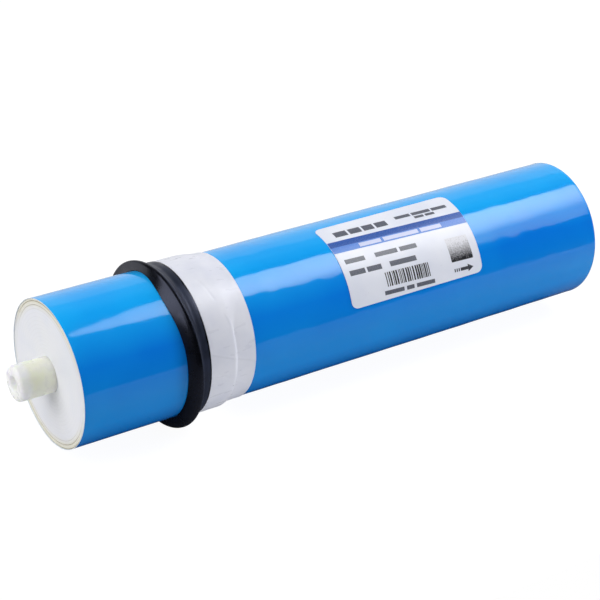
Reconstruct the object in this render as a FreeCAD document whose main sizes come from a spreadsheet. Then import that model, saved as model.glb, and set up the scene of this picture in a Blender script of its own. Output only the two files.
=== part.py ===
import FreeCAD, Part
import os
import Sketcher

# Spiral-wound reverse osmosis membrane element, in millimetres.
#
# The element is a perforated product tube with one long membrane leaf wound round it. Tape wraps
# the wound roll, a rubber cup seal sits on the wrap near the feed end and is held by a band of
# tape, and a label lies on the wrap. Two rings seal the product tube in its socket at the outlet.
#
# The axis is level and runs along X, from the feed end at low X to the outlet end at high X.
# The origin is on the axis at the outlet tip, where the element plugs into its housing. Profiles
# are drawn with x measured from the feed tip and y as the radius.

# Driving sizes: name, value, meaning
SIZES = (
    ("roll_length", 297.0, "wound roll, from the feed face to the outlet face"),
    ("wrap_dia", 71.0, "outside diameter of the tape wrap"),
    ("wrap_thick", 0.4, "thickness of the tape wrap"),
    ("wrap_overhang", 0.3, "how far the wrap runs past each face of the roll"),
    ("leaf_pitch", 2.8, "nominal distance from one turn of the leaf to the next"),
    ("leaf_gap", 0.35, "feed channel between one turn and the next"),
    ("seat_gap", 0.03, "clearance between a layer and what it is wound or slid on"),
    ("tube_dia", 17.0, "outside diameter of the product tube"),
    ("feed_stub", 17.5, "tube standing out of the feed face"),
    ("outlet_stub", 18.5, "tube standing out of the outlet face"),
    ("feed_tip_round", 1.6, "radius round the rim of the feed tip"),
    ("recess_dia", 7.6, "blind recess in the feed tip, diameter"),
    ("recess_depth", 7.0, "blind recess in the feed tip, depth"),
    ("plug_wall", 5.0, "solid wall between the recess and the channel"),
    ("channel_dia", 9.2, "product channel inside the tube"),
    ("socket_dia", 10.5, "socket in the outlet tip, diameter"),
    ("socket_depth", 16.0, "socket in the outlet tip, depth"),
    ("lead_in_length", 1.5, "taper at the outlet tip, along the tube"),
    ("lead_in_drop", 0.7, "taper at the outlet tip, off the radius"),
    ("hole_dia", 2.5, "hole that lets product water into the tube"),
    ("hole_distance", 110.0, "distance from one hole to the next"),
    ("hole_margin", 16.0, "least distance from a face of the roll to the first hole"),
    ("ring_section", 2.0, "thickness of a sealing ring"),
    ("ring_proud", 0.4, "how far a sealing ring stands out of the tube"),
    ("ring_tip_gap", 4.8, "outlet tip to the middle of the outer ring"),
    ("ring_distance", 4.8, "middle of the outer ring to the middle of the inner one"),
    ("ring_groove", 2.5, "width of a ring's groove"),
    ("seal_offset", 52.8, "feed face to the front of the seal"),
    ("lip_height", 6.1, "top of the outer lip above the wrap"),
    ("lip_setback", 0.4, "front of the seal to the front of the outer lip"),
    ("lip_thick", 1.3, "thickness of the outer lip"),
    ("lip_bevel", 0.8, "bevel on the front of the outer lip"),
    ("inner_lip_thick", 1.0, "thickness of the inner lip"),
    ("cup_depth", 5.4, "front of the seal to the bottom of the cup"),
    ("heel_length", 7.0, "front of the seal to where the lip joins the base"),
    ("heel_height", 2.0, "height of the rubber where the lip joins the base"),
    ("base_length", 9.6, "front of the seal to the end of the base, where the tape starts"),
    ("tail_length", 13.4, "end of the base to the end of the tail"),
    ("tail_thick", 1.3, "thickness of the tail under the tape"),
    ("band_width", 25.5, "width of the tape band over the tail"),
    ("band_thick", 0.35, "thickness of the tape band"),
    ("band_drop_length", 2.4, "stretch over which the band comes down off the tail"),
    ("label_offset", 143.0, "feed face to the label"),
    ("label_length", 79.0, "label, along the element"),
    ("label_width", 48.2, "label, round the element"),
    ("label_glue", 0.08, "glue between the wrap and the label"),
    ("label_thick", 0.2, "thickness of the label"),
    ("label_corner", 3.5, "radius of the label's corners"),
    ("label_angle", 39.7, "degrees from the top of the element to the middle of the label"),
)

doc = FreeCAD.newDocument("membrane_element")
sheet = doc.addObject("Spreadsheet::Sheet", "Sizes")
for row, (alias, value, meaning) in enumerate(SIZES, start=1):
    sheet.set(f"A{row}", meaning)
    sheet.set(f"B{row}", str(value))
    sheet.setAlias(f"B{row}", alias)
doc.recompute()


def named(text):
    """Put the sheet's name before every alias in an expression."""
    words = []
    word = ""
    aliases = {alias for alias, _, _ in SIZES}
    for letter in text + " ":
        if letter.isalnum() or letter == "_":
            word += letter
            continue
        words.append(f"Sizes.{word}" if word in aliases else word)
        words.append(letter)
        word = ""
    return "".join(words).strip()


# Holds one expression at a time, so that its value can be read
reader = doc.addObject("App::VarSet", "Reader")
reader.addProperty("App::PropertyFloat", "Answer")


def number(text):
    """Give the present value of an expression written in aliases."""
    reader.setExpression("Answer", named(text))
    reader.recompute()
    return reader.Answer


# Places and radii that several pieces share, all from the sheet
WRAP_RADIUS = "wrap_dia / 2"
WRAP_INSIDE = "(wrap_dia / 2 - wrap_thick)"
ON_WRAP = "(wrap_dia / 2 + seat_gap)"
TUBE_RADIUS = "tube_dia / 2"
OVERALL = "(feed_stub + roll_length + outlet_stub)"
GROOVE_FLOOR = "(tube_dia / 2 + ring_proud - ring_section)"
INNER_RING = f"({OVERALL} - ring_tip_gap - ring_distance)"
OUTER_RING = f"({OVERALL} - ring_tip_gap)"
SEAL_FRONT = "(feed_stub + seal_offset)"
BASE_END = f"({SEAL_FRONT} + base_length)"
TAIL_END = f"({BASE_END} + tail_length)"

# A rounded rim is drawn as two bevels that meet here, as a share of its radius
MID_ROUND = "(1 - cos(45))"

# Half of an octagon's side, as a share of its half width
OCTAGON_SIDE = "tan(22.5)"

# How many times its radius the label's blank is high, so that the cuts pass clear through it
BLANK_REACH = 2


def bind(item, prop, text):
    """Bind a property to an expression written in aliases."""
    item.setExpression(prop, named(text))


def new_body(label):
    """Make a body for one sub-part, on the element's axis."""
    body = doc.addObject("PartDesign::Body", label)
    body.Label = label
    bind(body, "Placement.Base.x", f"-{OVERALL}")
    return body


def new_sketch(body, name, plane):
    """Make a sketch on one of the body's own origin planes."""
    sketch = body.newObject("Sketcher::SketchObject", name)
    support = next(item for item in body.Origin.OriginFeatures if item.Role == plane)
    sketch.AttachmentSupport = (support, [""])
    sketch.MapMode = "FlatFace"
    return sketch


def pin_point(sketch, geometry, end, corner):
    """Hold a point of a sketch at a corner's x and y."""
    for axis, kind, text in ((-2, "DistanceX", corner[0]), (-1, "DistanceY", corner[1])):
        if text == "0":
            sketch.addConstraint(Sketcher.Constraint("PointOnObject", geometry, end, axis))
            continue
        index = sketch.addConstraint(
            Sketcher.Constraint(kind, -1, 1, geometry, end, number(text)))
        bind(sketch, f"Constraints[{index}]", text)


def draw_outline(sketch, corners):
    """Draw a closed outline of straight lines from corner to corner.

    A corner is (x, y), each an expression written in aliases.
    """
    points = [FreeCAD.Vector(number(x), number(y), 0) for x, y in corners]
    lines = []
    for i, corner in enumerate(corners):
        line = Part.LineSegment(points[i], points[(i + 1) % len(points)])
        lines.append(sketch.addGeometry(line, False))
        pin_point(sketch, lines[i], 1, corner)
    for i, line in enumerate(lines):
        sketch.addConstraint(Sketcher.Constraint("Coincident", lines[i - 1], 2, line, 1))


def revolve(body, name, corners, kind="PartDesign::Revolution"):
    """Turn an outline about the element's axis, to add or to cut."""
    sketch = new_sketch(body, f"{name}_profile", "XZ_Plane")
    draw_outline(sketch, corners)
    feature = body.newObject(kind, name)
    feature.Profile = (sketch, [""])
    feature.ReferenceAxis = (sketch, ["H_Axis"])
    feature.Angle = 360
    return feature


def repeat(body, name, feature, count, spacing):
    """Repeat a cut along the element's axis."""
    pattern = body.newObject("PartDesign::LinearPattern", name)
    pattern.Originals = [feature]
    pattern.Direction = (feature.Profile[0], ["H_Axis"])
    pattern.Mode = "Spacing"
    bind(pattern, "Offset", spacing)
    bind(pattern, "Occurrences", count)
    body.Tip = pattern
    return pattern


def make_product_tube():
    """Tube with a blind feed tip, an open outlet, two ring grooves and a row of holes."""
    body = new_body("product_tube")
    channel_end = "(recess_depth + plug_wall)"
    socket_floor = f"{OVERALL} - socket_depth"
    revolve(body, "tube", (
        ("0", "recess_dia / 2"),
        ("0", f"{TUBE_RADIUS} - feed_tip_round"),
        (f"feed_tip_round * {MID_ROUND}", f"{TUBE_RADIUS} - feed_tip_round * {MID_ROUND}"),
        ("feed_tip_round", TUBE_RADIUS),
        (f"{OVERALL} - lead_in_length", TUBE_RADIUS),
        (OVERALL, f"{TUBE_RADIUS} - lead_in_drop"),
        (OVERALL, "socket_dia / 2"),
        (socket_floor, "socket_dia / 2"),
        (socket_floor, "channel_dia / 2"),
        (channel_end, "channel_dia / 2"),
        (channel_end, "0"),
        ("recess_depth", "0"),
        ("recess_depth", "recess_dia / 2"),
    ))
    groove = revolve(body, "ring_groove_cut", (
        (f"{INNER_RING} - ring_groove / 2", GROOVE_FLOOR),
        (f"{INNER_RING} + ring_groove / 2", GROOVE_FLOOR),
        (f"{INNER_RING} + ring_groove / 2", f"{TUBE_RADIUS} + ring_section"),
        (f"{INNER_RING} - ring_groove / 2", f"{TUBE_RADIUS} + ring_section"),
    ), "PartDesign::Groove")
    repeat(body, "ring_grooves", groove, "2", "ring_distance")

    # Each hole is drilled right through, and the row is centred in the length of the roll
    count = "floor((roll_length - 2 * hole_margin) / hole_distance) + 1"
    first = f"feed_stub + (roll_length - ({count} - 1) * hole_distance) / 2"
    sketch = new_sketch(body, "hole_profile", "XY_Plane")
    centre = FreeCAD.Vector(number(first), 0, 0)
    circle = Part.Circle(centre, FreeCAD.Vector(0, 0, 1), number("hole_dia / 2"))
    edge = sketch.addGeometry(circle, False)
    pin_point(sketch, edge, 3, (first, "0"))
    index = sketch.addConstraint(Sketcher.Constraint("Diameter", edge, number("hole_dia")))
    bind(sketch, f"Constraints[{index}]", "hole_dia")
    hole = body.newObject("PartDesign::Pocket", "product_hole")
    hole.Profile = (sketch, [""])
    hole.Type = "ThroughAll"
    hole.Midplane = True
    repeat(body, "product_holes", hole, count, "hole_distance")
    return body


def make_leaf_roll():
    """Membrane leaf wound round the tube: one strip whose section is a true spiral.

    The spiral is half circles about two centres, a quarter of the pitch to each side of the
    axis. The pitch is adjusted a little so that whole turns fill the space inside the wrap.
    """
    inside = number(f"{TUBE_RADIUS} + seat_gap")
    outside = number(f"{WRAP_INSIDE} - seat_gap")
    gap = number("leaf_gap")
    turns = max(1, round((outside - inside + gap) / number("leaf_pitch")) - 1)
    pitch = (outside - inside + gap) / (turns + 1)
    strip = pitch - gap
    shift = pitch / 4

    def half_circles(first_radius):
        """Chain of half circles that starts and ends on the level through the axis."""
        edges = []
        for half in range(2 * turns):
            radius = first_radius + half * pitch / 2
            side = -1 if half % 2 else 1
            centre = -side * shift
            edges.append(Part.Arc(
                FreeCAD.Vector(0, centre + side * radius, 0),
                FreeCAD.Vector(0, centre, side * radius),
                FreeCAD.Vector(0, centre - side * radius, 0)).toShape())
        return edges

    inner = half_circles(inside + shift)
    outer = half_circles(inside + shift + strip)

    def across(edge_in, edge_out, vertex):
        """Short edge that closes the strip at one end of the spiral."""
        points = (edge_in.Vertexes[vertex].Point, edge_out.Vertexes[vertex].Point)
        return Part.LineSegment(*points).toShape()

    start_edge = across(inner[0], outer[0], 0)
    end_edge = across(inner[-1], outer[-1], -1)
    wire = Part.Wire(inner + [end_edge] + outer[::-1] + [start_edge])
    section = doc.addObject("Part::Feature", "leaf_section")
    section.Shape = Part.Face(wire)
    roll = doc.addObject("Part::Extrusion", "leaf_roll")
    roll.Base = section
    roll.DirMode = "Custom"
    roll.Dir = FreeCAD.Vector(1, 0, 0)
    roll.Solid = True
    bind(roll, "LengthFwd", "roll_length")
    bind(roll, "Placement.Base.x", f"feed_stub - {OVERALL}")
    roll.Label = "leaf_roll"
    return roll


def make_tape_wrap():
    """Plastic tape wound over the whole roll."""
    body = new_body("tape_wrap")
    front = "feed_stub - wrap_overhang"
    rear = "feed_stub + roll_length + wrap_overhang"
    revolve(body, "wrap", (
        (front, WRAP_INSIDE),
        (rear, WRAP_INSIDE),
        (rear, WRAP_RADIUS),
        (front, WRAP_RADIUS),
    ))
    return body


def make_brine_seal():
    """Rubber cup seal, open towards the feed end, with a thin tail for the tape band."""
    body = new_body("brine_seal")
    lip_front = f"{SEAL_FRONT} + lip_setback"
    lip_top = f"{WRAP_RADIUS} + lip_height"
    revolve(body, "seal", (
        (SEAL_FRONT, ON_WRAP),
        (SEAL_FRONT, f"{ON_WRAP} + inner_lip_thick"),
        (f"{SEAL_FRONT} + cup_depth", f"{ON_WRAP} + inner_lip_thick"),
        (lip_front, f"{lip_top} - lip_thick"),
        (f"{lip_front} + lip_bevel", lip_top),
        (f"{SEAL_FRONT} + heel_length", f"{ON_WRAP} + heel_height"),
        (BASE_END, f"{ON_WRAP} + tail_thick"),
        (TAIL_END, f"{ON_WRAP} + tail_thick"),
        (TAIL_END, ON_WRAP),
    ))
    return body


def make_seal_band():
    """Band of tape that holds the seal's tail down on the wrap."""
    body = new_body("seal_band")
    front = BASE_END
    rear = f"{front} + band_width"
    high = f"{ON_WRAP} + tail_thick + seat_gap"
    drop = f"{TAIL_END} + seat_gap"
    revolve(body, "band", (
        (front, high),
        (drop, high),
        (drop, ON_WRAP),
        (rear, ON_WRAP),
        (rear, f"{ON_WRAP} + band_thick"),
        (f"{drop} + band_drop_length", f"{ON_WRAP} + band_thick"),
        (drop, f"{high} + band_thick"),
        (front, f"{high} + band_thick"),
    ))
    return body


def make_label():
    """Thin sheet on the wrap, bent round the element, with rounded corners.

    It is cut from an upright block as wide as the label is when bent, first from the inside and
    then from the outside.
    """
    body = new_body("label")
    body.Placement = FreeCAD.Placement(
        body.Placement.Base, FreeCAD.Rotation(FreeCAD.Vector(1, 0, 0), number("label_angle")))
    bind(body, "Placement.Rotation.Angle", "label_angle")
    front = "feed_stub + label_offset"
    rear = f"{front} + label_length"
    under = f"({WRAP_RADIUS} + label_glue)"
    top = f"({under} + label_thick)"
    high = f"{top} * {BLANK_REACH}"
    sketch = new_sketch(body, "blank_profile", "XZ_Plane")
    draw_outline(sketch, ((front, "0"), (rear, "0"), (rear, high), (front, high)))
    blank = body.newObject("PartDesign::Pad", "label_blank")
    blank.Profile = (sketch, [""])
    blank.Midplane = True
    bind(blank, "Length", f"2 * {top} * sin(label_width / {top} * 90 / pi)")
    doc.recompute()
    uprights = [f"Edge{i}" for i, edge in enumerate(blank.Shape.Edges, start=1)
                if abs(edge.Curve.Direction.z) > abs(edge.Curve.Direction.x + edge.Curve.Direction.y)]
    fillet = body.newObject("PartDesign::Fillet", "label_corners")
    fillet.Base = (blank, uprights)
    bind(fillet, "Radius", "label_corner")
    revolve(body, "inside_cut", (
        ("0", "0"), (OVERALL, "0"), (OVERALL, under), ("0", under)), "PartDesign::Groove")
    far = f"{high} * {BLANK_REACH}"
    revolve(body, "outside_cut", (
        ("0", top), (OVERALL, top), (OVERALL, far), ("0", far)), "PartDesign::Groove")
    return body


def make_sealing_ring(label, place):
    """Rubber ring in one of the tube's grooves, with bevels for its round outer side."""
    body = new_body(label)
    half = "(ring_section / 2 - seat_gap)"
    level = f"({GROOVE_FLOOR} + ring_section / 2)"
    bevel_start = f"{half} * {OCTAGON_SIDE}"
    revolve(body, f"{label}_section", (
        (f"{place} - {half}", f"{level} - {half}"),
        (f"{place} + {half}", f"{level} - {half}"),
        (f"{place} + {half}", f"{level} + {bevel_start}"),
        (f"{place} + {bevel_start}", f"{level} + {half}"),
        (f"{place} - {bevel_start}", f"{level} + {half}"),
        (f"{place} - {half}", f"{level} + {bevel_start}"),
    ))
    return body


parts = [
    make_product_tube(),
    make_leaf_roll(),
    make_tape_wrap(),
    make_brine_seal(),
    make_seal_band(),
    make_label(),
    make_sealing_ring("inner_ring", INNER_RING),
    make_sealing_ring("outer_ring", OUTER_RING),
]
doc.removeObject(reader.Name)
doc.recompute()

# Nothing is written unless every object and every solid is sound
for item in doc.Objects:
    if {"Invalid", "Error"} & set(item.State):
        raise RuntimeError(f"{item.Label} failed: {item.State}")
for part in parts:
    if part.Shape.isNull() or not part.Shape.isValid() or not part.Shape.Solids:
        raise RuntimeError(f"{part.Label} is not a valid solid")

os.makedirs("parts", exist_ok=True)
for part in parts:
    part.Shape.exportStep(f"parts/{part.Label}.step")
    size = part.Shape.BoundBox
    print(f"{part.Label}: {len(part.Shape.Solids)} solid, {part.Shape.Volume / 1000:.2f} cm3, "
          f"x {size.XMin:.1f}..{size.XMax:.1f}, z {size.ZMin:.1f}..{size.ZMax:.1f}")
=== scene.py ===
"""Looks of a spiral-wound reverse osmosis membrane element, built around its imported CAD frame.

The element lies along X, with the feed end at low X and the outlet tip at the origin. Sizes are in
millimetres, as on the drawing, and every mesh is made in metres. Angles round the element start
at its top and grow towards the labelled side, which faces -Y.
"""

import logging
import math
import random
from dataclasses import dataclass
from enum import Enum
from typing import Any, Callable, Sequence

import bmesh
import bpy
from mathutils import Matrix, Vector, noise


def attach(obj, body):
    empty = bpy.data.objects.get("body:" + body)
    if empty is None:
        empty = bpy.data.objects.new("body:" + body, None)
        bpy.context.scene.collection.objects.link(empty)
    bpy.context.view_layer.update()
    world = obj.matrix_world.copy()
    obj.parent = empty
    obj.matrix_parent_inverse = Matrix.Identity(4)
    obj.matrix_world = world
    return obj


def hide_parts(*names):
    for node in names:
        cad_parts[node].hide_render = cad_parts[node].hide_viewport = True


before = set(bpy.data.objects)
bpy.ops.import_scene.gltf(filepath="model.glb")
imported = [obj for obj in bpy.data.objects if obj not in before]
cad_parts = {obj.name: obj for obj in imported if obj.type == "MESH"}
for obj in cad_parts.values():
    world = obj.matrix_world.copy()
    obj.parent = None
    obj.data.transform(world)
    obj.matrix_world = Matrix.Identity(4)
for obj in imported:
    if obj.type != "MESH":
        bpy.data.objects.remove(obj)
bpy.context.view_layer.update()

LOG = logging.getLogger("membrane_element")
MM = 0.001
ELEMENT_LENGTH = 333.0
FEED_FACE = -315.5
OUTLET_FACE = -18.5
WRAP_RADIUS = 35.5
SEAT_GAP = 0.03
MEAN_SAG = 0.15
RIB_LENGTH = 70.0
RIB_WIDTH = 8.0
RIB_DEPTH = 0.07
LUMP_SIZE = 9.0
LUMP_DEPTH = 0.09
SLACK_START = 45.0
SLACK_REACH = 50.0
LEAST_SLACK = 0.25
FULL_TURN = 2 * math.pi

Point = tuple[float, float]
Span = tuple[float, float]
Place = Callable[[float, float, float], Vector]
Triple = tuple[float, float, float]
Tree = bpy.types.NodeTree
Socket = bpy.types.NodeSocket
Material = bpy.types.Material
Piece = bpy.types.Object
Mesh = bmesh.types.BMesh

# Noise lies round 0.5, so a pattern that passes between these is soft, or softer still.
SOFT = (0.35, 0.65)
SOFTER = (0.3, 0.7)


# Colours, nodes and finishes


def linear(hex_colour: str) -> tuple[float, float, float, float]:
    """Turn an sRGB hex colour into linear light.

    Args:
        hex_colour: six hex digits after a hash.

    Returns:
        Red, green, blue and an alpha of 1, for a node's socket.
    """
    shares = [int(hex_colour[i:i + 2], 16) / 255 for i in (1, 3, 5)]
    red, green, blue = (
        s / 12.92 if s <= 0.04045 else ((s + 0.055) / 1.055) ** 2.4 for s in shares)
    return red, green, blue, 1.0


def add_node(tree: Tree, kind: str, inputs: dict[str | int, Any] | None = None,
             output: str | int = 0, **settings: Any) -> Socket | None:
    """Add a shader node with its settings, its values and its links.

    Args:
        tree: the node tree.
        kind: the node's type, without its common prefix.
        inputs: each input's plain value, or the output socket that feeds it.
        output: the output that is wanted.
        **settings: properties of the node itself.

    Returns:
        The wanted output socket, or None for a node that has no outputs.
    """
    node = tree.nodes.new("ShaderNode" + kind)
    for name, value in settings.items():
        setattr(node, name, value)
    for socket, value in (inputs or {}).items():
        if isinstance(value, Socket):
            tree.links.new(value, node.inputs[socket])
        else:
            node.inputs[socket].default_value = value
    return node.outputs[output] if node.outputs else None


def clear_tree(owner: Material | bpy.types.World) -> Tree:
    """Give a material or a world an empty node tree."""
    owner.use_nodes = True
    owner.node_tree.nodes.clear()
    return owner.node_tree


def mottle(tree: Tree, point: Socket, size_mm: float, spread: Span, values: Span = (0.0, 1.0),
           detail: float = 2.0) -> Socket:
    """Draw a cloudy pattern.

    Args:
        tree: the node tree.
        point: the place on the element, in millimetres.
        size_mm: the size of its clouds.
        spread: the noise at which the pattern starts, and at which it is full.
        values: what it gives at those two.
        detail: how many finer layers it has.

    Returns:
        The pattern's value.
    """
    cloud = add_node(tree, "TexNoise", {
        "Vector": point, "Scale": 1 / size_mm, "Detail": detail}, "Fac")
    return add_node(tree, "MapRange", {
        "Value": cloud, "From Min": spread[0], "From Max": spread[1], "To Min": values[0],
        "To Max": values[1]})


def mottled_colour(tree: Tree, point: Socket, size_mm: float, spread: Span,
                   colours: tuple[str, str], detail: float = 2.0, most: float = 1.0) -> Socket:
    """Let one colour pass into another in clouds.

    Args:
        tree: the node tree.
        point: the place on the element, in millimetres.
        size_mm: the size of the clouds.
        spread: the noise at which the second colour starts, and at which it is full.
        colours: the two sRGB colours.
        detail: how many finer layers the clouds have.
        most: the largest share of the second colour.

    Returns:
        The colour.
    """
    share = mottle(tree, point, size_mm, spread, (0.0, most), detail)
    return add_node(tree, "Mix", {0: share, 6: linear(colours[0]), 7: linear(colours[1])}, 2,
                    data_type="RGBA")


def layered_colour(tree: Tree, base: str, layers: Sequence[tuple[Socket, Span, str]]) -> Socket:
    """Lay tones over a colour, one after the other.

    Args:
        tree: the node tree.
        base: the sRGB colour below them.
        layers: a coordinate, where on it the tone starts and is full, and its sRGB colour.

    Returns:
        The colour.
    """
    colour: Any = linear(base)
    for value, (start, full), tone in layers:
        share = add_node(tree, "MapRange", {"Value": value, "From Min": start, "From Max": full})
        colour = add_node(tree, "Mix", {0: share, 6: colour, 7: linear(tone)}, 2,
                          data_type="RGBA")
    return colour


def grained_normal(tree: Tree, point: Socket, size_mm: float, depth_mm: float,
                   detail: float = 2.0) -> Socket:
    """Roughen a surface with a fine grain.

    Args:
        tree: the node tree.
        point: the place on the element, in millimetres.
        size_mm: the size of its grains.
        depth_mm: how deep it is.
        detail: how many finer layers it has.

    Returns:
        The normal.
    """
    grain = add_node(tree, "TexNoise", {
        "Vector": point, "Scale": 1 / size_mm, "Detail": detail}, "Fac")
    return add_node(tree, "Bump", {"Height": grain, "Distance": depth_mm * MM})


def angle_round(tree: Tree, point: Socket) -> Socket:
    """Give the angle round the element, from the top towards the label's side."""
    y = add_node(tree, "SeparateXYZ", {0: point}, "Y")
    z = add_node(tree, "SeparateXYZ", {0: point}, "Z")
    label_side = add_node(tree, "Math", {0: y, 1: -1.0}, operation="MULTIPLY")
    return add_node(tree, "Math", {0: label_side, 1: z}, operation="ARCTAN2")


@dataclass(frozen=True)
class Finish:
    """What all finishes share: one Principled shader, patterned in millimetres of the element."""

    title: str

    def build(self) -> Material:
        """Make the material."""
        material = bpy.data.materials.new(self.title)
        tree = clear_tree(material)
        place = add_node(tree, "TexCoord", output="Object")
        point = add_node(tree, "VectorMath", {0: place, "Scale": 1 / MM}, operation="SCALE")
        shader = add_node(tree, "BsdfPrincipled", self.sockets(tree, point))
        add_node(tree, "OutputMaterial", {"Surface": shader})
        return material

    def sockets(self, tree: Tree, point: Socket) -> dict[str, Any]:
        """Give the shader's values and patterns; each finish has its own."""
        raise NotImplementedError


@dataclass(frozen=True)
class TapeFilm(Finish):
    """Blue polyester film tape, calendered, dyed through and wound under tension.

    The calendered face mirrors the softbox in an almost sharp stripe. Its colour is painted by
    height: painted light on top, painted shade on the sides, painted light thrown back by the
    table below the middle, which is lighter again, and painted shade at the contact below.
    """

    title: str = "blue_polyester_film"
    colour: str = "#16ADFC"
    painted_side_shade_colour: str = "#067BE6"
    painted_table_light_colour: str = "#0A8BE0"
    shade_colour: str = "#0568BE"
    painted_top_light_heights: Span = (15.5, 34.0)
    painted_table_light_heights: Span = (15.5, -6.0)
    shade_heights: Span = (-14.0, -28.0)
    roughness: float = 0.06
    haze_gain: float = 1.8
    ior: float = 1.5
    patch_mm: float = 45.0
    patch_share: float = 0.12
    haze_mm: float = 6.0
    haze_spread: Span = (0.35, 0.75)

    def sockets(self, tree: Tree, point: Socket) -> dict[str, Any]:
        """Give painted light on top, painted shade and painted light from the table below, broad
        patches, and a haze that comes and goes.
        """
        # Painted light and shade by height: the full colour on top is painted light, the deeper
        # blue on the sides is painted shade, the lighter blue below the middle is painted light
        # from the table, and the darkest blue at the bottom is painted shade.
        height = add_node(tree, "SeparateXYZ", {0: point}, "Z")
        bright = add_node(tree, "MapRange", {
            "Value": height, "From Min": self.painted_top_light_heights[0],
            "From Max": self.painted_top_light_heights[1]})
        shift = mottle(tree, point, self.patch_mm, SOFT,
                       (-self.patch_share, self.patch_share))
        share = add_node(tree, "Math", {0: bright, 1: shift}, operation="ADD", use_clamp=True)
        below = layered_colour(tree, self.painted_side_shade_colour, (
            (height, self.painted_table_light_heights, self.painted_table_light_colour),
            (height, self.shade_heights, self.shade_colour)))
        colour = add_node(tree, "Mix", {0: share, 6: below, 7: linear(self.colour)}, 2,
                          data_type="RGBA")
        roughness = mottle(tree, point, self.haze_mm, self.haze_spread,
                           (self.roughness, self.roughness * self.haze_gain), detail=4.0)
        return {"Base Color": colour, "Roughness": roughness, "IOR": self.ior}


@dataclass(frozen=True)
class CutFilmEdge(Finish):
    """Slit edge of the wound film tape: many thin layers that scatter the light, milky white."""

    title: str = "slit_film_edge"
    colour: str = "#E4E9EE"
    shade: str = "#C9D6E2"
    roughness: float = 0.45
    ior: float = 1.5
    streak_mm: float = 2.5
    streak_spread: Span = (0.4, 0.7)

    def sockets(self, tree: Tree, point: Socket) -> dict[str, Any]:
        """Give streaks round the edge where the layers aren't quite level."""
        colour = mottled_colour(tree, point, self.streak_mm, self.streak_spread,
                                (self.colour, self.shade), detail=3.0)
        return {"Base Color": colour, "Roughness": self.roughness, "IOR": self.ior}


@dataclass(frozen=True)
class VinylTape(Finish):
    """Soft white PVC tape, stretched over a step: a cool cast, and a shine that is uneven."""

    title: str = "white_vinyl_tape"
    colour: str = "#EAECF7"
    shade: str = "#DEE1EF"
    roughness: float = 0.26
    dull_gain: float = 1.4
    ior: float = 1.52
    patch_mm: float = 13.0
    patch_spread: Span = (0.35, 0.7)
    wrinkle_mm: float = 2.6
    wrinkle_stretch: Triple = (0.3, 1.0, 1.0)
    glow_share: float = 0.08
    glow_mm: Triple = (0.6, 0.6, 0.8)

    def sockets(self, tree: Tree, point: Socket) -> dict[str, Any]:
        """Give faint patches where the tape is stretched, and duller streaks across its width."""
        colour = mottled_colour(tree, point, self.patch_mm, self.patch_spread,
                                (self.colour, self.shade), detail=3.0)
        along = add_node(tree, "VectorMath", {0: point, 1: self.wrinkle_stretch},
                         operation="MULTIPLY")
        roughness = mottle(tree, along, self.wrinkle_mm, SOFTER,
                           (self.roughness, self.roughness * self.dull_gain))
        return {"Base Color": colour, "Roughness": roughness, "IOR": self.ior,
                "Subsurface Weight": self.glow_share, "Subsurface Radius": self.glow_mm,
                "Subsurface Scale": MM}


@dataclass(frozen=True)
class NitrileRubber(Finish):
    """Black nitrile rubber, moulded in a fine-ground die.

    It has a soft sheen where it turns. A lighter, lavender grey copy of it, used behind the
    seal's crest, is painted sheen.
    """

    title: str = "moulded_nitrile_rubber"
    colour: str = "#06070B"
    dust_and_sheen_tone: str = "#0B0D14"
    roughness: float = 0.27
    polish: Span = (0.85, 1.35)
    tint: str = "#D2DAFF"
    ior: float = 1.5
    dust_mm: float = 6.0
    dust_spread: Span = (0.45, 0.75)
    grain_mm: float = 0.5
    grain_depth_mm: float = 0.004

    def sockets(self, tree: Tree, point: Socket) -> dict[str, Any]:
        """Give two tones in clouds, dust on the black rubber and painted sheen on its lighter
        copy, a smoother and a duller finish in turn, and a fine grain.
        """
        colour = mottled_colour(tree, point, self.dust_mm, self.dust_spread,
                                (self.colour, self.dust_and_sheen_tone), detail=4.0)
        smooth, dull = (self.roughness * factor for factor in self.polish)
        roughness = mottle(tree, point, self.dust_mm, SOFTER, (smooth, dull), detail=4.0)
        normal = grained_normal(tree, point, self.grain_mm, self.grain_depth_mm)
        return {"Base Color": colour, "Roughness": roughness, "IOR": self.ior, "Normal": normal,
                "Specular Tint": linear(self.tint)}


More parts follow.
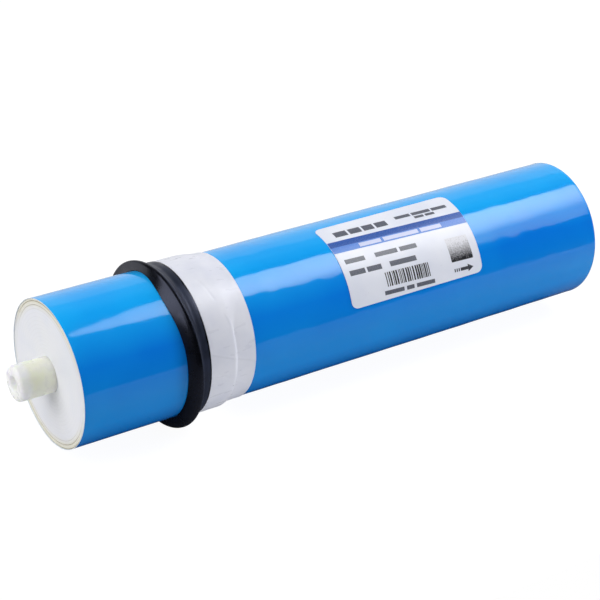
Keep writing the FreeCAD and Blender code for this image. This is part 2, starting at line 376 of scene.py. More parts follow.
@dataclass(frozen=True)
class CutLeafEdge(Finish):
    """Polyester felt, net and glue of the wound leaf, sliced across with a blade.

    The tight turns read as one near-white face. Towards the rim, above and below, the wind is
    looser, and the glue shows as beige lines that follow the spiral. The real layers are under
    1 mm, too fine to show, so the lines are drawn 1.83 mm apart.
    """

    title: str = "sliced_polyester_felt"
    colour: str = "#EDEEF3"
    cool: str = "#E8EAF2"
    glue: str = "#E6E3D5"
    line: str = "#85784F"
    roughness: float = 0.6
    inner_radius: float = 8.53
    outer_radius: float = 35.07
    layer_mm: float = 1.83
    line_edges: Span = (0.36, 0.48)
    rim_depths: Span = (5.6, 0.8)
    end_heights: Span = (9.0, 25.0)
    end_shares: Span = (0.18, 1.0)
    line_shares: Span = (0.04, 0.85)
    cloud_mm: float = 16.0
    fibre_mm: float = 0.5
    fibre_depth_mm: float = 0.03
    glow_share: float = 0.2
    glow_mm: Triple = (1.2, 1.2, 1.4)

    def sockets(self, tree: Tree, point: Socket) -> dict[str, Any]:
        """Give the spiral of glue lines, stronger where the wind is loose."""
        across = add_node(tree, "VectorMath", {0: point, 1: (0.0, 1.0, 1.0)},
                          operation="MULTIPLY")
        radius = add_node(tree, "VectorMath", {0: across}, "Value", operation="LENGTH")
        turn = add_node(tree, "Math", {0: angle_round(tree, point), 1: FULL_TURN},
                        operation="DIVIDE")
        depth = add_node(tree, "Math", {0: radius, 1: self.inner_radius}, operation="SUBTRACT")
        layers = add_node(tree, "Math", {0: depth, 1: self.layer_mm}, operation="DIVIDE")
        phase = add_node(tree, "Math", {0: layers, 1: turn}, operation="SUBTRACT")
        share = add_node(tree, "Math", {0: phase}, operation="FRACT")
        ridge = add_node(tree, "Math", {0: share, 1: 0.5}, operation="SUBTRACT")
        beside = add_node(tree, "Math", {0: ridge}, operation="ABSOLUTE")
        seam = add_node(tree, "MapRange", {
            "Value": beside, "From Min": self.line_edges[0], "From Max": self.line_edges[1]},
            interpolation_type="SMOOTHSTEP")
        rim = add_node(tree, "MapRange", {
            "Value": radius, "From Min": self.outer_radius - self.rim_depths[0],
            "From Max": self.outer_radius - self.rim_depths[1]}, interpolation_type="SMOOTHSTEP")
        z = add_node(tree, "SeparateXYZ", {0: point}, "Z")
        height = add_node(tree, "Math", {0: z}, operation="ABSOLUTE")
        ends = add_node(tree, "MapRange", {
            "Value": height, "From Min": self.end_heights[0], "From Max": self.end_heights[1],
            "To Min": self.end_shares[0], "To Max": self.end_shares[1]},
            interpolation_type="SMOOTHSTEP")
        loose = add_node(tree, "Math", {0: rim, 1: ends}, operation="MULTIPLY")
        felt = mottled_colour(tree, point, self.cloud_mm, SOFT, (self.colour, self.cool))
        soaked = add_node(tree, "Mix", {0: loose, 6: felt, 7: linear(self.glue)}, 2,
                          data_type="RGBA")
        strength = add_node(tree, "Math", {0: loose, 1: self.line_shares[1],
                                           2: self.line_shares[0]}, operation="MULTIPLY_ADD")
        drawn = add_node(tree, "Math", {0: seam, 1: strength}, operation="MULTIPLY")
        colour = add_node(tree, "Mix", {0: drawn, 6: soaked, 7: linear(self.line)}, 2,
                          data_type="RGBA")
        normal = grained_normal(tree, point, self.fibre_mm, self.fibre_depth_mm, detail=3.0)
        return {"Base Color": colour, "Roughness": self.roughness, "Normal": normal,
                "Subsurface Weight": self.glow_share, "Subsurface Radius": self.glow_mm,
                "Subsurface Scale": MM}


@dataclass(frozen=True)
class NaturalPolymer(Finish):
    """Undyed moulded polymer that lets light in: a pale tip, and green-grey where it is deep."""

    title: str = "natural_moulded_polymer"
    colour: str = "#F6FAFB"
    deep: str = "#F3F7E2"
    roughness: float = 0.26
    polish: Span = (0.8, 1.3)
    ior: float = 1.5
    flow_mm: float = 5.0
    cloud_shares: Span = (0.65, 1.0)
    tip_depths: Span = (3.15, 7.2)
    grain_mm: float = 0.9
    grain_depth_mm: float = 0.004
    glow_mm: Triple = (3.6, 3.9, 3.1)

    def sockets(self, tree: Tree, point: Socket) -> dict[str, Any]:
        """Give the deeper tint behind the feed tip, with the cloudy flow of the melt."""
        x = add_node(tree, "SeparateXYZ", {0: point}, "X")
        behind = add_node(tree, "MapRange", {
            "Value": x, "From Min": -ELEMENT_LENGTH + self.tip_depths[0],
            "From Max": -ELEMENT_LENGTH + self.tip_depths[1]}, interpolation_type="SMOOTHSTEP")
        cloudy = mottle(tree, point, self.flow_mm, SOFTER, self.cloud_shares)
        share = add_node(tree, "Math", {0: behind, 1: cloudy}, operation="MULTIPLY")
        colour = add_node(tree, "Mix", {0: share, 6: linear(self.colour), 7: linear(self.deep)},
                          2, data_type="RGBA")
        smooth, dull = (self.roughness * factor for factor in self.polish)
        roughness = mottle(tree, point, self.flow_mm, SOFTER, (smooth, dull))
        normal = grained_normal(tree, point, self.grain_mm, self.grain_depth_mm)
        return {"Base Color": colour, "Roughness": roughness, "IOR": self.ior, "Normal": normal,
                "Subsurface Weight": 1.0, "Subsurface Radius": self.glow_mm,
                "Subsurface Scale": MM}


@dataclass(frozen=True)
class LabelFilm(Finish):
    """White polypropylene label film with a satin laminate, a touch cooler in patches."""

    title: str = "white_polypropylene_film"
    colour: str = "#EEF1FB"
    shade: str = "#E5E9F6"
    roughness: float = 0.3
    polish: Span = (0.9, 1.2)
    ior: float = 1.49
    patch_mm: float = 20.0
    grain_mm: float = 0.8

    def sockets(self, tree: Tree, point: Socket) -> dict[str, Any]:
        """Give faint patches and a laminate that is a little uneven."""
        colour = mottled_colour(tree, point, self.patch_mm, SOFT,
                                (self.colour, self.shade))
        smooth, dull = (self.roughness * factor for factor in self.polish)
        roughness = mottle(tree, point, self.grain_mm, SOFTER, (smooth, dull), detail=3.0)
        return {"Base Color": colour, "Roughness": roughness, "IOR": self.ior}


class Ink(Enum):
    """Inks on the label, with their sRGB colours."""

    NAVY = "#0C50AA"
    PERIWINKLE = "#4A82DA"
    CHARCOAL = "#2E313C"
    GREY = "#555A68"
    BLACK = "#101116"
    PALE = "#C9D2F0"


@dataclass(frozen=True)
class PrintedInk(Finish):
    """Ink printed under the laminate: even, with a trace of the screen that laid it."""

    title: str = "printed_ink"
    ink: Ink = Ink.BLACK
    paper: str = "#EFF0F7"
    roughness: float = 0.3
    ior: float = 1.49
    screen_mm: float = 0.4
    screen_spread: Span = (0.4, 0.7)
    thinnest: float = 0.1

    def sockets(self, tree: Tree, point: Socket) -> dict[str, Any]:
        """Give the ink's colour, thinner in places."""
        colour = mottled_colour(tree, point, self.screen_mm, self.screen_spread,
                                (self.ink.value, self.paper), most=self.thinnest)
        return {"Base Color": colour, "Roughness": self.roughness, "IOR": self.ior}


@dataclass(frozen=True)
class HalftoneInk(Finish):
    """Black halftone that thins out from the foot of a printed square to its head.

    Real dots are too fine to show, so they are drawn 0.7 mm wide.
    """

    title: str = "printed_halftone"
    dark: str = "#1C1C22"
    paper: str = "#E6E7EF"
    roughness: float = 0.3
    ior: float = 1.49
    head_degrees: float = 49.5
    foot_degrees: float = 63.5
    dot_mm: float = 0.7
    dot_share: float = 0.15

    def sockets(self, tree: Tree, point: Socket) -> dict[str, Any]:
        """Give the fade, broken up by the dots."""
        fade = add_node(tree, "MapRange", {
            "Value": angle_round(tree, point), "From Min": math.radians(self.head_degrees),
            "From Max": math.radians(self.foot_degrees)})
        dotted = mottle(tree, point, self.dot_mm, SOFT,
                        (-self.dot_share, self.dot_share))
        share = add_node(tree, "Math", {0: fade, 1: dotted}, operation="ADD", use_clamp=True)
        colour = add_node(tree, "Mix", {0: share, 6: linear(self.paper), 7: linear(self.dark)},
                          2, data_type="RGBA")
        return {"Base Color": colour, "Roughness": self.roughness, "IOR": self.ior}


# Meshes


def on_element(x: float, radius: float, angle: float) -> Vector:
    """Give a place on the element in metres.

    Args:
        x: along the axis, in millimetres.
        radius: from the axis, in millimetres.
        angle: from the top towards the label's side, in radians.

    Returns:
        The point in the element's frame.
    """
    return Vector((x, -radius * math.sin(angle), radius * math.cos(angle))) * MM


def even_angles(steps: int) -> list[float]:
    """Divide a full turn into even steps."""
    return [FULL_TURN * k / steps for k in range(steps)]


def ease(share: float) -> float:
    """Clamp a share to 0…1 and ease it at both ends."""
    share = min(1.0, max(0.0, share))
    return share * share * (3 - 2 * share)


def round_corners(corners: Sequence[Triple], steps: int = 6) -> list[Point]:
    """Round the corners of an open outline.

    Args:
        corners: x, radius from the axis and rounding radius of each corner, in millimetres.
        steps: pieces in each rounded corner.

    Returns:
        The outline's points.
    """
    outline: list[Point] = []
    for i, (x, r, rounding) in enumerate(corners):
        if rounding <= 0 or i in (0, len(corners) - 1):
            outline.append((x, r))
            continue
        here = Vector((x, r))
        before = Vector(corners[i - 1][:2]) - here
        after = Vector(corners[i + 1][:2]) - here
        half = before.angle(after) / 2
        reach = min(rounding / math.tan(half), before.length * 0.49, after.length * 0.49)
        middle = (before.normalized() + after.normalized()).normalized()
        centre = here + middle * (reach / math.cos(half))
        first = here + before.normalized() * reach - centre
        last = here + after.normalized() * reach - centre
        sweep = first.angle_signed(last)
        for step in range(steps + 1):
            turned = Matrix.Rotation(-sweep * step / steps, 2) @ first
            outline.append(tuple(centre + turned))
    return outline


def divide_outline(outline: Sequence[Point], longest: float, least_radius: float) -> list[Point]:
    """Divide the stretches of an outline that lie far out, so that they can carry small waves.

    Args:
        outline: its points in millimetres.
        longest: the longest piece that is left, in millimetres.
        least_radius: stretches that come nearer to the axis stay whole.

    Returns:
        The divided outline.
    """
    points = [outline[0]]
    for (x0, r0), (x1, r1) in zip(outline, outline[1:]):
        length = math.hypot(x1 - x0, r1 - r0)
        pieces = max(1, math.ceil(length / longest)) if min(r0, r1) >= least_radius else 1
        points += [(x0 + (x1 - x0) * k / pieces, r0 + (r1 - r0) * k / pieces)
                   for k in range(1, pieces + 1)]
    return points


def lathe(outline: Sequence[Point], angles: Sequence[float], closed: bool = True,
          place: Place = on_element) -> Mesh:
    """Turn an outline about the axis.

    Args:
        outline: x and radius of its points, in millimetres.
        angles: the angles of a full turn at which it is repeated.
        closed: whether the last point joins the first.
        place: gives the point in metres for an x, a radius and an angle.

    Returns:
        The new bmesh.
    """
    mesh = bmesh.new()
    rows = [[mesh.verts.new(place(x, r, angle)) for x, r in outline] for angle in angles]
    count = len(outline)
    for here, there in zip(rows, rows[1:] + rows[:1]):
        for i in range(count if closed else count - 1):
            j = (i + 1) % count
            mesh.faces.new((here[i], here[j], there[j], there[i]))
    return mesh


def finish_piece(name: str, mesh: Mesh, materials: Sequence[Material],
                 nodes: Sequence[str], sharp_degrees: float = 35.0) -> Piece:
    """Turn a bmesh into a piece that rides on the element.

    Args:
        name: the piece's name.
        mesh: the bmesh, which is freed.
        materials: its materials, in the order of its faces' material numbers.
        nodes: the CAD nodes that it stands for.
        sharp_degrees: edges that turn more than this stay sharp.

    Returns:
        The new object.
    """
    bmesh.ops.remove_doubles(mesh, verts=mesh.verts, dist=1e-7)
    bmesh.ops.recalc_face_normals(mesh, faces=mesh.faces)
    data = bpy.data.meshes.new(name)
    mesh.to_mesh(data)
    mesh.free()
    data.shade_smooth()
    data.set_sharp_from_angle(angle=math.radians(sharp_degrees))
    for material in materials:
        data.materials.append(material)
    piece = bpy.data.objects.new(name, data)
    bpy.context.scene.collection.objects.link(piece)
    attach(piece, "root")
    if nodes:
        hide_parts(*nodes)
    LOG.info("%s: %d vertices, %d faces", name, len(data.vertices), len(data.polygons))
    return piece


def film_sag(x: float, angle: float) -> float:
    """How far the wound film lies below its full radius, in millimetres.

    The wind is taut at the feed end and slacker beyond the seal. The waves are long along the
    element and short round it, as the edges of the leaves below print through.

    Args:
        x: along the axis, in millimetres.
        angle: round the element, in radians.

    Returns:
        A depth from about 0.01 to 0.3.
    """
    around = Vector((0, math.sin(angle), math.cos(angle))) * WRAP_RADIUS
    ribs = noise.noise(Vector((x / RIB_LENGTH, 0, 0)) + around / RIB_WIDTH)
    lumps = noise.noise((Vector((x, 0, 0)) + around) / LUMP_SIZE + Vector((31, 7, 5)))
    slack = min(1.0, max(0.0, (x - FEED_FACE - SLACK_START) / SLACK_REACH))
    slack = LEAST_SLACK + (1 - LEAST_SLACK) * slack
    return MEAN_SAG + slack * (RIB_DEPTH * ribs + LUMP_DEPTH * lumps)


@dataclass
class TapeWrap:
    """Blue film tape over the whole roll, with the faint waves of its wound turns."""

    start: float = FEED_FACE - 0.3
    end: float = OUTLET_FACE + 0.3
    radius: float = WRAP_RADIUS
    thickness: float = 0.4
    edge: float = 0.14
    hem: float = 2.0
    skin: float = 0.02
    steps: int = 256
    piece_mm: float = 1.5

    def build(self, film: Material, cut: Material) -> Piece:
        """Make the wrap.

        Args:
            film: the material of its face.
            cut: the material of its slit edges.

        Returns:
            The piece.
        """
        inside = self.radius - self.thickness
        outline = round_corners((
            (self.start + self.hem, inside, 0), (self.start, inside, self.edge),
            (self.start, self.radius, self.edge), (self.end, self.radius, self.edge),
            (self.end, inside, self.edge), (self.end - self.hem, inside, 0)), 3)
        outline = divide_outline(outline, self.piece_mm, self.radius - 0.01)
        mesh = lathe(outline, even_angles(self.steps), True, self.place)
        for face in mesh.faces:
            middle = face.calc_center_median() / MM
            outside = math.hypot(middle.y, middle.z) > inside + self.skin
            if not (outside and self.start + self.edge < middle.x < self.end - self.edge):
                face.material_index = 1
        return finish_piece("blue_tape_wrap", mesh, [film, cut], ["tape_wrap"])

    def place(self, x: float, radius: float, angle: float) -> Vector:
        """Let the outer face follow the film's waves."""
        sag = film_sag(x, angle) if radius > self.radius - 0.05 else 0.0
        return on_element(x, radius - sag, angle)


@dataclass
class LeafRoll:
    """The wound leaf, whose two cut ends show the edge of every turn."""

    start: float = FEED_FACE
    end: float = OUTLET_FACE
    inner: float = 8.53
    outer: float = 35.07
    turns: int = 29
    rows_per_turn: int = 6
    steps: int = 180
    groove: float = 0.03
    loose_groove: float = 0.22
    loose_mm: float = 4.6
    face_depth: float = 0.05
    uneven_depth: float = 0.06

    def build(self, felt: Material) -> Piece:
        """Make the roll.

        Args:
            felt: its material.

        Returns:
            The piece.
        """
        rows = self.turns * self.rows_per_turn
        step = (self.outer - self.inner) / rows
        radii = [self.inner + step * k for k in range(rows + 1)]
        outline = [(self.start, r) for r in radii] + [(self.end, r) for r in reversed(radii)]
        return finish_piece("wound_leaf_roll", lathe(
            outline, even_angles(self.steps), True, self.place), [felt],
            ["leaf_roll"])

    def place(self, x: float, radius: float, angle: float) -> Vector:
        """Sink the seam beside each layer, most where the wind is loose."""
        pitch = (self.outer - self.inner) / self.turns
        phase = (radius - self.inner) / pitch - angle / FULL_TURN
        seam = (0.5 + 0.5 * math.cos(FULL_TURN * phase)) ** 3
        loose = min(1.0, max(0.0, 1 - (self.outer - radius) / self.loose_mm))
        depth = self.groove + (self.loose_groove - self.groove) * loose
        uneven = self.uneven_depth * loose * noise.noise(Vector((phase * 0.8, angle * 2, 4.0)))
        inward = 1.0 if x == self.start else -1.0
        depth = depth * seam + self.face_depth + uneven
        return on_element(x + inward * depth, radius, angle)


@dataclass
class ProductTube:
    """Moulded tube: a stub with a blind recess at the feed end, an open spigot at the outlet."""

    tip: float = -ELEMENT_LENGTH
    radius: float = 8.5
    tip_round: float = 1.8
    recess_radius: float = 3.8
    recess_depth: float = 7.0
    plug_wall: float = 5.0
    channel_radius: float = 4.6
    socket_radius: float = 5.25
    socket_depth: float = 16.0
    lead_in: float = 1.5
    lead_drop: float = 0.7
    groove_floor: float = 6.9
    groove_width: float = 2.5
    ring_middles: tuple[float, float] = (-9.6, -4.8)
    groove_round: float = 0.15
    recess_draft: float = 0.5
    steps: int = 128

    def build(self, polymer: Material) -> Piece:
        """Make the tube.

        Args:
            polymer: its material.

        Returns:
            The piece.
        """
        floor = self.tip + self.recess_depth
        corners = [
            (floor, 0.0, 0), (floor, self.recess_radius - self.recess_draft, 1.2),
            (self.tip, self.recess_radius, 0.9), (self.tip, self.radius, self.tip_round)]
        for middle in self.ring_middles:
            for side, radius in ((-1, self.radius), (-1, self.groove_floor),
                                 (1, self.groove_floor), (1, self.radius)):
                corners.append((middle + side * self.groove_width / 2, radius,
                                self.groove_round))
        corners += [
            (-self.lead_in, self.radius, 0.4), (0.0, self.radius - self.lead_drop, 0.4),
            (0.0, self.socket_radius, 0.3), (-self.socket_depth, self.socket_radius, 0.2),
            (-self.socket_depth, self.channel_radius, 0.15),
            (floor + self.plug_wall, self.channel_radius, 0.8), (floor + self.plug_wall, 0.0, 0)]
        mesh = lathe(round_corners(corners, 8), even_angles(self.steps), False)
        return finish_piece("product_tube_moulding", mesh, [polymer],
                            ["product_tube"])


@dataclass
class BrineSeal:
    """Rubber cup seal, whose soft lip leans forward above and is pressed back below.

    In front the lip runs down to the film in one soft slope, which bulges forward near the top.
    """

    front: float = FEED_FACE + 52.8
    base: float = WRAP_RADIUS + SEAT_GAP
    lip_height: float = 6.07
    waist_height: float = 1.5
    shoulder_height: float = 1.78
    tail_height: float = 1.3
    tail_end: float = 23.0
    painted_sheen_reach: float = 9.4
    sag: float = 0.7
    lean: float = 2.4
    lean_angle: float = math.radians(107)
    foot_reach: float = 1.0
    bulge_reach: float = 2.1
    bulge_degrees: float = 30.0
    bulge_width: float = 26.0
    slope_depth: float = 0.95
    press: float = 0.06
    uneven_depth: float = 0.1
    steps: int = 256

    def build(self, rubber: Material, painted_sheen_rubber: Material) -> Piece:
        """Make the seal.

        Args:
            rubber: its material in front of the crest.
            painted_sheen_rubber: its lighter material behind the crest, which is painted sheen.

        Returns:
            The piece.
        """
        # Behind the front, height over the film and rounding of each corner of the section.
        corners = (
            (8.0, 0.0, 0), (0.0, 0.0, 0.1), (0.1, 0.45, 0.25),
            (0.6, self.lip_height - 1.5, 0.9), (0.9, self.lip_height - 0.2, 0.7),
            (2.1, self.lip_height, 1.0), (3.8, 3.5, 5.0), (6.2, self.waist_height, 2.5),
            (8.2, self.shoulder_height, 1.5), (9.5, self.shoulder_height, 0.1),
            (10.3, self.shoulder_height - 0.05, 0.3), (10.5, self.tail_height, 0.1),
            (self.tail_end, self.tail_height, 0.2), (self.tail_end, 0.0, 0.1), (15.0, 0.0, 0))
        outline = [(self.front + x, self.base + h) for x, h in round_corners(corners, 7)]
        mesh = lathe(outline, even_angles(self.steps), True, self.place)
        crest = max(range(len(outline)), key=lambda i: outline[i][1])
        # Faces behind the crest, as far as the painted sheen reaches, take the lighter rubber:
        # painted sheen.
        painted_sheen_end = self.front + self.painted_sheen_reach
        for i, face in enumerate(mesh.faces):
            behind = i % len(outline) >= crest
            face.material_index = int(behind and outline[i % len(outline)][0] < painted_sheen_end)
        return finish_piece("cup_seal_rubber", mesh, [rubber, painted_sheen_rubber],
                            ["brine_seal"])

    def place(self, x: float, radius: float, angle: float) -> Vector:
        """Let the lip lean and hang, with a slightly uneven edge, and its foot creep forward."""
        height = radius - self.base - self.waist_height
        share = max(0.0, height / (self.lip_height - self.waist_height))
        edge = noise.noise(Vector((math.cos(angle) * 2, math.sin(angle) * 2, 3.0)))
        uneven = self.uneven_depth * edge
        drop = share * (self.sag * (1 + math.cos(angle)) + self.press + uneven)
        lean = share * self.lean * math.cos(angle - self.lean_angle)
        if x < self.front + self.slope_depth:
            degrees = (math.degrees(angle) + 180) % 360 - 180
            bulge = math.exp(-((degrees - self.bulge_degrees) / self.bulge_width) ** 2)
            foot = 1 - min(1.0, (radius - self.base) / self.lip_height)
            lean -= foot * (self.foot_reach + self.bulge_reach * bulge)
        return on_element(x + lean, radius - drop, angle)


@dataclass(frozen=True)
class Crease:
    """A crease in the seal band, straight from one place to another."""

    first_x: float
    first_degrees: float
    last_x: float
    last_degrees: float
    height: float = 0.1
    width: float = 0.45
    fade: float = 1.6

    def lift(self, x: float, angle: float) -> float:
        """Give its height in millimetres at a place.

        Args:
            x: along the axis from the feed face, in millimetres.
            angle: round the element, in radians.

        Returns:
            The lift of the tape.
        """
        first = Vector((self.first_x, math.radians(self.first_degrees) * WRAP_RADIUS))
        last = Vector((self.last_x, math.radians(self.last_degrees) * WRAP_RADIUS))
        here = Vector((x, (angle % FULL_TURN) * WRAP_RADIUS))
        along = (last - first).normalized()
        run = (here - first).dot(along)
        beyond = max(0.0, -run, run - (last - first).length)
        beside = (here - first - along * run).length
        return self.height * math.exp(-(beside / self.width) ** 2 - (beyond / self.fade) ** 2)


@dataclass
class SealBand:
    """White tape over the seal's tail: it laps the rubber, drops off the tail, ends on film.

    On top the tape bridges the step at the tail in a long slope. From the side to below it is
    pulled down hard behind the step.
    """

    front: float = FEED_FACE + 63.3
    rear: float = FEED_FACE + 87.9
    step: float = FEED_FACE + 75.8 + SEAT_GAP
    high: float = WRAP_RADIUS + 1.3 + 2 * SEAT_GAP
    low: float = WRAP_RADIUS + SEAT_GAP
    thickness: float = 0.35
    drop: float = 1.7
    bridge: float = 9.5
    tight_degrees: float = 120.0
    tight_reach: float = 50.0
    slack_reach: float = 85.0
    layer: float = 0.1
    end_first: Point = (65.7, 80.6)
    end_last: Point = (87.4, 94.8)
    bead_height: float = 0.07
    bead_width: float = 0.45
    slack_depth: float = 0.07
    slack_mm: float = 9.0
    slack_bias: float = 0.6
    relief: float = 0.1
    piece_mm: float = 0.5
    steps: int = 720
    creases: tuple[Crease, ...] = (
        Crease(75.9, 57.0, 77.2, 66.0, 0.2, 0.4), Crease(76.9, 68.0, 77.3, 104.0, 0.24, 0.4),
        Crease(70.5, 24.0, 72.5, 40.0, -0.08), Crease(69.0, 19.0, 70.4, 27.0, -0.06),
        Crease(79.0, 110.0, 84.0, 116.0, 0.07), Crease(67.0, 96.0, 72.0, 101.0, -0.05))

    def build(self, tape: Material) -> Piece:
        """Make the band.

        Args:
            tape: its material.

        Returns:
            The piece.
        """
        top = self.high + self.thickness
        outline = round_corners((
            (self.front + 0.5, self.high, 0), (self.front, self.high, 0.06),
            (self.front, top, 0.12), (self.rear, top, 0.12), (self.rear, self.low, 0.06),
            (self.rear - 1.0, self.low, 0)), 4)
        outline = divide_outline(outline, self.piece_mm, top - 0.01)
        outline += [(self.step, self.low), (self.step, self.high), (self.step - 1.0, self.high)]
        mesh = lathe(outline, even_angles(self.steps), True, self.place)
        return finish_piece("white_seal_band", mesh, [tape], ["seal_band"], 50)

    def fall(self, x: float, angle: float) -> float:
        """How far the tape has come down from the seal's tail to the film.

        Args:
            x: along the axis, in millimetres.
            angle: round the element, in radians.

        Returns:
            A share from 0 on the tail to 1 on the film.
        """
        away = abs((math.degrees(angle) - self.tight_degrees + 180) % 360 - 180)
        slack = ease((away - self.tight_reach) / (self.slack_reach - self.tight_reach))
        return ease((x - self.step - 0.3) / (self.drop + self.bridge * slack))

    def place(self, x: float, radius: float, angle: float) -> Vector:
        """Add the free end of the tape, the creases and a slack surface to the outer face."""
        top = self.high + self.thickness
        if radius < top - 0.13 or x < self.front + 0.01:
            return on_element(x, radius, angle)
        (z0, a0), (z1, a1) = self.end_first, self.end_last
        end = math.radians(a0 + (x - FEED_FACE - z0) * (a1 - a0) / (z1 - z0))
        past = (angle - end) % FULL_TURN
        lap = self.layer * (past / FULL_TURN - 1.0)
        arc = radius * min(past, FULL_TURN - past)
        bead = self.bead_height * math.exp(-(arc / self.bead_width) ** 2)
        around = Vector((0, math.sin(angle), math.cos(angle))) * WRAP_RADIUS
        wave = noise.noise((Vector((x, 0, 0)) + around) / self.slack_mm)
        slack = self.slack_depth * (wave - self.slack_bias)
        creases = sum(crease.lift(x - FEED_FACE, angle) for crease in self.creases)
        down = (self.high - self.low) * self.fall(x, angle)
        lift = lap + bead + slack + creases - self.relief - down
        return on_element(x, radius + lift, angle)


@dataclass
class Label:
    """White film label on the wrap, with rounded corners and plain printed fields."""

    start: float = FEED_FACE + 143.0
    length: float = 79.0
    width: float = 48.2
    corner: float = 3.5
    middle: float = math.radians(39.7)
    under: float = WRAP_RADIUS + 0.08
    thickness: float = 0.2
    print_slant: float = 0.033
    follow: float = 0.7
    ink_lift: float = 0.02
    bleed: float = 0.05
    patch_mm: float = 1.5
    rows: int = 44
    columns: int = 60

    def place(self, u: float, v: float, lift: float) -> Vector:
        """Give a place on or over the label.

        Args:
            u: along the element from the label's feed edge, in millimetres.
            v: round the element from its upper edge, in millimetres.
            lift: above the label's underside, in millimetres.

        Returns:
            The point in metres.
        """
        angle = self.middle + (v - self.width / 2) / (self.under + self.thickness)
        x = self.start + u
        return on_element(x, self.under + lift - self.follow * film_sag(x, angle), angle)

    def build(self, film: Material) -> Piece:
        """Make the label itself.

        Args:
            film: its material.

        Returns:
            The piece.
        """
        mesh = bmesh.new()
        arc = [self.corner * (1 - math.cos(math.pi / 16 * i)) for i in range(9)]
        straight = self.length - 2 * self.corner
        inner = [self.corner + straight * i / self.columns for i in range(1, self.columns)]
        columns = arc + inner + [self.length - a for a in reversed(arc)]
        rims = []
        for lift in (0.0, self.thickness):
            grid = []
            for u in columns:
                near = max(0.0, self.corner - min(u, self.length - u))
                cut = self.corner - math.sqrt(max(0.0, self.corner ** 2 - near ** 2))
                grid.append([mesh.verts.new(self.place(
                    u, cut + (self.width - 2 * cut) * j / self.rows, lift))
                    for j in range(self.rows + 1)])
            for left, right in zip(grid, grid[1:]):
                for j in range(self.rows):
                    mesh.faces.new((left[j], left[j + 1], right[j + 1], right[j]))
            rims.append([g[0] for g in grid] + grid[-1][1:]
                        + [g[-1] for g in reversed(grid)][1:] + list(reversed(grid[0]))[1:-1])
        low, high = rims
        for k in range(len(low)):
            after = (k + 1) % len(low)
            mesh.faces.new((low[k], low[after], high[after], high[k]))
        return finish_piece("label_film_sheet", mesh, [film], ["label"], 50)

    def add_patch(self, mesh: Mesh, corners: Sequence[Point], ink: int,
                  layer: int = 1) -> None:
        """Print a four-sided field.

        Args:
            mesh: the bmesh of the print.
            corners: u and v of its corners in order round it, in millimetres.
            ink: the material number of its ink.
            layer: 1 on bare film, 2 on another ink.
        """
        a, b, c, d = (Vector(p) for p in corners)
        wide = max(1, math.ceil(max((b - a).length, (c - d).length) / self.patch_mm))
        tall = max(1, math.ceil(max((d - a).length, (c - b).length) / self.patch_mm))
        grid = []
        for i in range(wide + 1):
            head, foot = a.lerp(b, i / wide), d.lerp(c, i / wide)
            column = []
            for j in range(tall + 1):
                u, v = head.lerp(foot, j / tall)
                column.append(mesh.verts.new(self.place(
                    u, v + self.print_slant * u, self.thickness + self.ink_lift * layer)))
            grid.append(column)
        for left, right in zip(grid, grid[1:]):
            for j in range(tall):
                face = mesh.faces.new((left[j], left[j + 1], right[j + 1], right[j]))
                face.material_index = ink

    def add_bar(self, mesh: Mesh, u: Span, v: Span, ink: int,
                layer: int = 1) -> None:
        """Print a bar along the element, from u to u and from v to v."""
        corners = ((u[0], v[0]), (u[1], v[0]), (u[1], v[1]), (u[0], v[1]))
        self.add_patch(mesh, corners, ink, layer)

    def build_print(self, inks: dict[Ink, Material], halftone: Material) -> Piece:
        """Print plain stripes, bars, a shaded square and a flow arrow.

        Args:
            inks: the material of each ink.
            halftone: the material of the shaded square.

        Returns:
            The piece.
        """
        mesh = bmesh.new()
        number = {ink: i for i, ink in enumerate(inks)}
        whole = (self.bleed, self.length - self.bleed)
        self.add_bar(mesh, whole, (12.3, 15.8), number[Ink.NAVY])
        self.add_bar(mesh, whole, (15.8, 19.4), number[Ink.PERIWINKLE])
        rows = (
            (((7.0, 14.2), (15.4, 22.2), (23.4, 29.6), (30.8, 37.5)), 6.0, 9.8, Ink.GREY),
            (((43.5, 52.5), (53.5, 64.5), (65.5, 74.5)), 5.2, 7.4, Ink.GREY),
            (((53.5, 59.0), (60.0, 65.5)), 8.2, 9.8, Ink.GREY),
            (((15.5, 28.0), (29.5, 50.0), (51.5, 64.0)), 16.4, 18.6, Ink.PALE),
            (((3.2, 14.5), (20.5, 33.5), (35.0, 45.0)), 23.6, 26.0, Ink.GREY),
            (((3.2, 12.0), (13.2, 21.5), (26.5, 42.0)), 29.6, 32.2, Ink.GREY),
            (((19.5, 31.0), (32.5, 37.0), (38.5, 49.5)), 43.2, 45.2, Ink.GREY))
        for bars, head, foot, ink in rows:
            for bar in bars:
                self.add_bar(mesh, bar, (head, foot), number[ink], 2 if ink is Ink.PALE else 1)
        self.add_bar_code(mesh, (21.8, 48.2), (34.4, 41.4), number[Ink.BLACK])
        self.add_bar(mesh, (61.4, 74.6), (25.4, 37.6), len(inks))
        self.add_arrow(mesh, 62.0, 73.6, 41.9, number[Ink.CHARCOAL])
        return finish_piece("label_print_fields", mesh, [*inks.values(), halftone],
                            [], 50)

    def add_bar_code(self, mesh: Mesh, u: Span, v: Span, ink: int) -> None:
        """Print a block of thin bars of uneven width, which encode nothing.

        Args:
            mesh: the bmesh of the print.
            u: where the block starts and ends along the element.
            v: its head and foot.
            ink: the material number of its ink.
        """
        draw = random.Random(11)
        here = u[0]
        while here < u[1] - 0.9:
            wide = draw.choice((0.4, 0.55, 0.9))
            self.add_bar(mesh, (here, here + wide), v, ink)
            here += wide + draw.choice((0.35, 0.5, 0.75))

